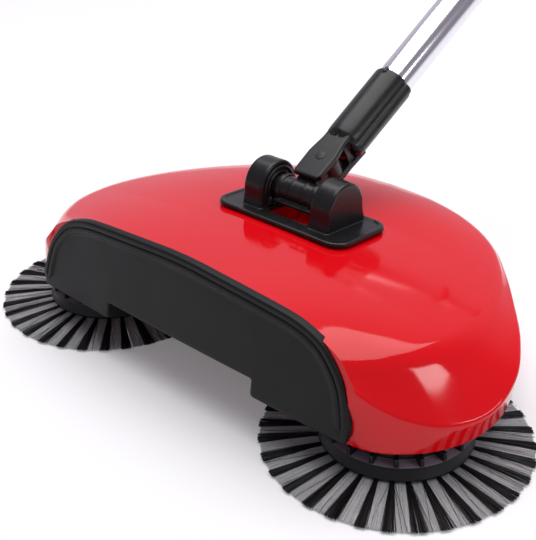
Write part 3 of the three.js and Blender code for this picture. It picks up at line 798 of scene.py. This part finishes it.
# ---- drive axle and wheels -----------------------------------------------------------------------
piece("drive_axle_skin", moved(lathe(rounded([(0, -91), (3, -91), (3, 91), (0, 91)], 0.5), "x", 48),
      0, AXLE.y, AXLE.z), STEEL, "axle", "steel", "drive_axle")
WHEEL = lathe(rounded([(3.3, 22), (8, 22), (8, 27), (22, 29), (22, 24.6), (26.2, 24.6), (26.2, 39.4),
                       (22, 39.4), (22, 33), (8, 31.5), (8, 42), (3.3, 42)], 0.7, 3), "x", 80)
TREAD = 60


def tread(angle, r, _):
    """Cross lugs on the running face of the tyre, the same over its width."""
    return r - 0.5 if r > 30.5 and math.sin(angle * TREAD) > 0.35 else r


TYRE = lathe(rounded([(26.5, 24.2), (30, 24.2), (31, 25.4), (31, 31), (30.2, 31.4), (30.2, 32.6),
                      (31, 33), (31, 38.6), (30, 39.8), (26.5, 39.8)], 0.3, 2), "x", TREAD * 6, tread)
REAR_TYRE = lathe(rounded([(2.06, -4), (6, -4), (6.5, -3), (9, -3), (10, -4), (11, -3), (11, 3),
                           (10, 4), (9, 3), (6.5, 3), (6, 4), (2.06, 4)], 0.4, 3), "x", 64)
REAR_PIN = lathe(rounded([(0, -7.4), (2, -7.4), (2, 7.4), (0, 7.4)], 0.4), "x", 32)
for prefix, side in SIDES:
    flip = (lambda shape: shape) if side > 0 else mirrored
    piece(prefix + "wheel_hub_skin", moved(flip(WHEEL), 0, AXLE.y, AXLE.z), FITTING, "axle",
          "fitting_black", prefix + "wheel_hub")
    piece(prefix + "tyre_skin", moved(flip(TYRE), 0, AXLE.y, AXLE.z), RUBBER, "axle", "tyre_rubber",
          prefix + "tyre")
    soft_cad(prefix + "pinion", WHITE)
    soft_cad(prefix + "axle_bush", WHITE)
    piece(prefix + "rear_wheel_skin", moved(REAR_TYRE, side * REAR.x, REAR.y, REAR.z), RUBBER,
          prefix + "roller", "tyre_rubber", prefix + "rear_wheel")
    piece(prefix + "rear_pin_skin", moved(REAR_PIN, side * REAR.x, REAR.y, REAR.z), STEEL, "body",
          "steel", prefix + "rear_pin")

# ---- dust bin ------------------------------------------------------------------------------------
BIN_FRONT = in_shop(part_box("bin_tray")[0]).y


def back_curve(z, draw_in, steps=60):
    """Plan points of the hood's back at height z for |x| up to the bin's half width."""
    found = []
    for i in range(401):
        u = 0.6 + 0.4 * i / 400
        skirt, crease = on_curve(SKIRT, u), on_curve(CREASE, u)
        k = max(0.0, (z - SKIRT_Z) / (crease.z - SKIRT_Z))
        p = skirt.lerp(crease, k)
        found.append((p.x, p.y))
    out = []
    limit = BIN_HALF - draw_in * 0.8
    for i in range(steps + 1):
        x = limit * math.cos(math.pi * i / steps)
        a, b = next(pair for pair in zip(found, found[1:]) if pair[1][0] <= abs(x) + 0.01)
        t = (a[0] - abs(x)) / (a[0] - b[0])
        out.append((x, a[1] + (b[1] - a[1]) * t - draw_in))
    return out


def bin_tray():
    """The tray with its walls, floor and the ramp at its mouth."""
    levels = [(5, 0), (14, 0), (25, 0), (38, 0), (BIN_TOP, 0), (BIN_TOP, 2.4), (30, 2.4), (7, 2.4)]
    points, faces = [], []
    for z, draw_in in levels:
        back = back_curve(z, draw_in)
        x = BIN_HALF - draw_in * 0.8
        for px, py in [(x, BIN_FRONT)] + back + [(-x, BIN_FRONT)]:
            points.append(Vector((px, py, z)))
    n = len(points) // len(levels)
    for i in range(len(levels)):
        for j in range(n - 1):
            k = (i + 1) % len(levels)
            if i < len(levels) - 1:
                faces.append([i * n + j, i * n + j + 1, k * n + j + 1, k * n + j])
    for j in (0, n - 1):  # the two ends of the wall at the mouth
        faces.append([i * n + j for i in range(len(levels))])
    faces.append([i for i in range(n)])
    faces.append([(len(levels) - 1) * n + i for i in range(n)][::-1])
    first, last = 0, (len(levels) - 1) * n
    faces.append([first, last, last + n - 1, first + n - 1])
    ramp = slab([(BIN_FRONT, 6), (BIN_FRONT + 3, 8), (BIN_FRONT + 20, 17), (BIN_FRONT + 22, 17),
                 (BIN_FRONT + 24, 6)], 1 - BIN_HALF, BIN_HALF - 1, "x", 0.3)
    return joined((points, faces), ramp)


tray = piece("bin_tray_skin", bin_tray(), None, "dust_bin", "bin_grey", "bin_tray")
broken_edges(tray, 0.6, 3, 50)
apply_modifiers(tray)
tray.data.materials.append(BIN)
finished(tray, BIN, "dust_bin", "bin_grey")
moulded("bin_pull_skin", joined(slab(round_rect(-26, 26, 163, 178, 5), 26, 31, soften=1.2),
        slab(round_rect(-18, 18, 162, 173.6, 3), 20, 30, soften=1.0)),
        [], FITTING, "dust_bin", "fitting_black", "bin_pull")
soft_cad("floor_lip", RUBBER, 0.5)

# ---- base plate with two domed ears --------------------------------------------------------------
PLATE = {"half": 54, "y0": 33, "y1": 86, "t": 3.2, "r": 12}
EAR = {"x0": 20, "x1": 36.4, "r": 17.2}


def on_crown(shape):
    """A shape drawn flat on z = 0 laid on the sloping crown of the hood, a gap above it."""
    return [Vector((p.x, p.y, p.z + crown_height(p.y) + GAP)) for p in shape[0]], shape[1]


plate_floor = slab(round_rect(-PLATE["half"], PLATE["half"], PLATE["y0"], PLATE["y1"], PLATE["r"], 14),
                   0.0, PLATE["t"], soften=1.3, steps=5)
plate_dish = slab(round_rect(3.2 - PLATE["half"], PLATE["half"] - 3.2, PLATE["y0"] + 3.2,
                             PLATE["y1"] - 3.2, PLATE["r"] - 3.2, 14), PLATE["t"] - 0.8, 12, soften=0.7)
window = slab(round_rect(-17.6, 17.6, 46, 79, 3), -3, 30, soften=0.2)
FLARE = [(2.4, 78), (2.0, 83.5), (1.3, 86), (0.6, 88.5), (0.15, 91.5)]
ear_outline = [(PIVOT.y - EAR["r"] - out, z) for out, z in FLARE[::-1]]
ear_outline += [(PIVOT.y + EAR["r"] + out, z) for out, z in FLARE]
ear_outline += arc(PIVOT.y, PIVOT.z, EAR["r"], 0, 180, 40)
ear = slab(ear_outline, EAR["x0"], EAR["x1"], "x", 2.0, 6)
ear_rings = [moved(lathe(rounded([(r, 19.0), (r + 1.2, 19.0), (r + 1.2, 21), (r, 21)], 0.3), "x", 64),
                   0, PIVOT.y, PIVOT.z) for r in (6.0, 9.2, 12.4)]
ledge = slab([(50, 84), (74, 84), (72, 88.4), (52, 89)], 18.2, 20.5, "x", 0.4)
side_parts = joined(ear, ledge, *ear_rings)
plate_body = carved("plate_blank", on_crown(plate_floor), on_crown(plate_dish))
blank = ([(v.co - ORIGIN) / MM for v in plate_body.data.vertices],
         [list(f.vertices) for f in plate_body.data.polygons])
bpy.data.objects.remove(plate_body)
moulded("base_plate_skin", joined(blank, side_parts, mirrored(side_parts)),
        [on_crown(window), moved(lathe([(0, -33.6), (3.3, -33.6), (3.3, 33.6), (0, 33.6)], "x", 48),
                                 0, PIVOT.y, PIVOT.z)],
        FITTING, "body", "fitting_black", "base_plate", voxel=0.42, passes=3)

PLATE_SCREW = lathe(rounded([(0, 0), (3.4, 0), (3.4, 2), (1.5, 2), (1.5, 8.4), (0, 8.4)], 0.35),
                    "z", 40)
for i, (x, y) in enumerate([(44.3, 42.5), (44.3, 76.5), (-44.3, 42.5), (-44.3, 76.5)]):
    node = f"plate_screw_{i + 1}"
    seat = in_shop(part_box(node)[0]).z
    bars = [slab(round_rect(*span, 0.2, 3), -1, 0.9, soften=0.05)
            for span in ((-1.9, 1.9, -0.4, 0.4), (-0.4, 0.4, -1.9, 1.9))]
    screw = carved(node + "_skin", moved(PLATE_SCREW, x, y, seat),
                   *[moved(bar, x, y, seat) for bar in bars])
    finished(screw, STEEL, "body", "steel", node)
piece("pivot_pin_skin", moved(lathe(rounded([(0, -33.3), (3, -33.3), (3, 33.3), (0, 33.3)], 0.4), "x",
      48), 0, PIVOT.y, PIVOT.z), STEEL, "body", "steel", "pivot_pin")

# ---- pivot barrel, knuckle and swing pin ---------------------------------------------------------
turn_back = Matrix.Rotation(-LEAN, 3, "X")


def off_handle(shape):
    """From the object's frame to the handle's own."""
    return [turn_back @ (p - SWING) for p in shape[0]], shape[1]


def on_pivot(shape):
    """A shape drawn about the tilt axis, in the handle's own frame."""
    return off_handle(moved(shape, 0, PIVOT.y, PIVOT.z))


barrel = on_pivot(lathe(rounded([(0, -18.8), (8.7, -18.8), (8.7, 18.8), (0, 18.8)], 0.8), "x", 64))
collars = [on_pivot(lathe(rounded([(5, a), (10, a), (10, a + 4), (5, a + 4)], 0.8), "x", 64))
           for a in (12, -16)]
fins = [on_pivot(lathe(rounded([(5, a), (9.5, a), (9.5, a + 0.8), (5, a + 0.8)], 0.3), "x", 64))
        for a in (-5.4, 4.6)]
apron = on_pivot(slab([(-11.2, -6.2), (-6, -6.2), (-6, -3.4), (-11.2, -4.4)], -16.4, 16.4, "x", 0.5))
tongue = joined(barrel, *collars, *fins, apron,
                slab([(-8, -22), (8, -22), (8, 0), (-8, 0)], -6.2, 6.2, "z", 0.8),
                lathe(rounded([(0, -6.2), (10.4, -6.2), (10.4, 6.2), (0, 6.2)], 0.8), "z", 64))
moulded("pivot_barrel_skin", on_handle(tongue),
        [on_handle(on_pivot(lathe([(0, -40), (3.06, -40), (3.06, 40), (0, 40)], "x", 40)))],
        FITTING, "pivot_bar", "fitting_black", "pivot_barrel", voxel=0.4, passes=3)

OVER_CHEEK = [(-9.4, -17.5), (9.4, -17.5), (10.8, -15), (11.2, 2), (9.2, 15), (9.0, 22), (-9.0, 22),
              (-9.2, 15), (-11.2, 2), (-10.8, -15)]
UNDER_CHEEK = arc(0, -2.5, 10.5, 180, 360, 24) + [(10.5, 12), (11.5, 27), (-11.5, 27), (-10.5, 12)]
HEEL = [(0, 17.4), (8, 17.4), (12.2, 18.8), (13.8, 22), (14.1, 26), (14.3, 76), (14.3, 80), (0, 80)]
RIB = [(0, 17), (3, 17.5), (4.8, 19.4), (5.5, 23), (5.5, 79.6), (0, 79.6)]
socket = lathe(rounded(HEEL, 1.0, 4), "y", 160)
side_rib = lathe(rounded(RIB, 0.8, 3), "y", 48)
crease_rod = lathe([(0, 15), (1.1, 15), (1.1, 90), (0, 90)], "y", 20)
CREASE_AT = math.radians(21)  # from the side towards the top, where the rib meets the socket
creases = [moved(crease_rod, side * 14.2 * math.cos(CREASE_AT), 0, up * 14.2 * math.sin(CREASE_AT))
           for side in (1, -1) for up in (1, -1)]
neck = slab([(-8.5, 12), (8.5, 12), (9.5, 26), (-9.5, 26)], -10.4, 9.2, "z", 1.5)
ball = lathe([(2.6 * math.sin(math.pi * k / 12), -2.6 * math.cos(math.pi * k / 12))
              for k in range(13)], "z", 32)
nub = slab(round_rect(-1.3, 1.3, 76, 81, 1.0, 6), 13, 15.3, "z", 0.5)
knuckle = joined(slab(OVER_CHEEK, 6.6, 10.8, "z", 1.1), slab(UNDER_CHEEK, -10.8, -6.6, "z", 0.9),
                 neck, socket, moved(side_rib, 10.4), moved(side_rib, -10.4), nub)
knuckle_cuts = [
    lathe([(0, 38), (12.75, 38), (12.75, 95), (0, 95)], "y", 96),
    slab([(-30, -30), (30, -30), (30, 12.6), (-30, 12.6)], -6.5, 6.5, "z", 0.3),
    slab(round_rect(-4.6, 4.6, 3, 11, 2), -20, -6, "z", 0.1),
    moved(ball, 1.5, 18.6, 13.2),
] + creases
moulded("knuckle_skin", on_handle(knuckle), [on_handle(tool) for tool in knuckle_cuts], FITTING,
        "handle", "fitting_black", "knuckle", voxel=0.38, passes=3)
piece("swing_pin_skin", on_handle(lathe(rounded([(0, -10.6), (2.5, -10.6), (2.5, 10.7), (3.4, 10.8),
      (3.4, 11.1), (0, 11.1)], 0.15), "z", 48)), FITTING, "handle", "fitting_black", "swing_pin")

# ---- tubes, joiners and grip ---------------------------------------------------------------------
TUBE_R, TUBE_WALL, TUBE_LENGTH, COLLAR = 12.5, 0.8, 268, 14
start = 39.0
for i, where in enumerate(("lower", "middle", "upper")):
    end = start + TUBE_LENGTH
    wall = [(TUBE_R - TUBE_WALL, start), (TUBE_R, start), (TUBE_R, end), (TUBE_R - TUBE_WALL, end)]
    piece(where + "_tube_skin", on_handle(lathe(rounded(wall, 0.25, 3), "y", 128)), TUBE, "handle",
          "tube_bright", where + "_tube")
    if i < 2:
        spigot = [(0, end - 24), (11.4, end - 24), (11.4, end + GAP), (13.6, end + GAP),
                  (13.9, end + 2.5), (13.5, end + 4), (13.5, end + COLLAR - 4),
                  (13.9, end + COLLAR - 2.5), (13.6, end + COLLAR - GAP), (11.4, end + COLLAR - GAP),
                  (11.4, end + COLLAR + 24), (0, end + COLLAR + 24)]
        piece(where + "_joiner_skin", on_handle(lathe(rounded(spigot, 0.5, 3), "y", 96)), FITTING,
              "handle", "fitting_black", where + "_joiner")
        start = end + COLLAR
grip_from = end - 96
outer = [(12.9, 0), (14.6, 0), (15.6, 2), (16, 5)]
for ring in range(15):
    at = 14 + ring * 5.2
    swell = 15.5 + 0.8 * math.sin(ring / 14 * math.pi)
    outer += [(swell, at), (swell, at + 2.6), (swell - 0.7, at + 3.3), (swell - 0.7, at + 4.5)]
outer += [(15.4, 95), (16.6, 108), (16.2, 120), (14, 128), (9, 131.6), (0, 132), (0, 96.4),
          (12.9, 96.4)]
piece("grip_skin", on_handle(moved(lathe(rounded(outer, 0.8, 3), "y", 96), 0, grip_from)), GRIP,
      "handle", "grip_black", "grip")

# ---- floor, light and surroundings ---------------------------------------------------------------


def sheet(name, corners, surface):
    """A flat sheet of the surroundings."""
    mesh = bpy.data.meshes.new(name)
    mesh.from_pydata([Vector(c) for c in corners], [], [list(range(len(corners)))])
    mesh.materials.append(surface)
    linked(name, mesh)


# Besides its pale colour the floor glows faintly of its own (emission 0.14): painted light that lifts
# the shadow under the sweeper.
FLOOR = material("pale_floor_painted_glow", (0.86, 0.86, 0.865), 0.65, mottle=(900, (0.87, 0.87, 0.87), 0.02),
                 Emission_Color=(1, 0.99, 1, 1), Emission_Strength=0.14)
sheet("floor", [(-9, -9, 0), (9, -9, 0), (9, 9, 0), (-9, 9, 0)], FLOOR)


def softbox(name, place, target, width, height, power):
    """A rectangular area light that faces the target."""
    light = bpy.data.lights.new(name, "AREA")
    light.shape = "RECTANGLE"
    light.size, light.size_y = width, height
    light.energy = power
    obj = linked(name, light)
    obj.location = place
    obj.rotation_euler = (Vector(target) - Vector(place)).to_track_quat("-Z", "Y").to_euler()


head = (0, 0, 0.05)
softbox("overhead", (-0.2, 0.35, 2.2), head, 2.3, 2.3, 50)
softbox("window", (1.418, 0.194, 0.891), (0.14, -0.07, 0.07), 0.65, 0.17, 3.1)

world = bpy.data.worlds.new("studio")
scene.world = world
world.use_nodes = True
tree = world.node_tree
where = tree.nodes.new("ShaderNodeTexCoord").outputs["Generated"]
facing = tree.nodes.new("ShaderNodeVectorMath")
facing.operation = "DOT_PRODUCT"
facing.inputs[1].default_value = (-0.54, 0.84, 0.0)  # towards the wall behind the sweeper
tree.links.new(where, facing.inputs[0])
ramp = tree.nodes.new("ShaderNodeMapRange")
ramp.interpolation_type = "SMOOTHSTEP"
ramp.inputs["From Min"].default_value = 0.25
ramp.inputs["From Max"].default_value = 0.85
ramp.inputs["To Min"].default_value = 0.26
ramp.inputs["To Max"].default_value = 0.60
tree.links.new(facing.outputs["Value"], ramp.inputs["Value"])
tree.links.new(ramp.outputs["Result"], tree.nodes["Background"].inputs["Strength"])
tree.nodes["Background"].inputs["Color"].default_value = (0.97, 0.90, 1.05, 1)
scene.view_settings.view_transform = "Standard"
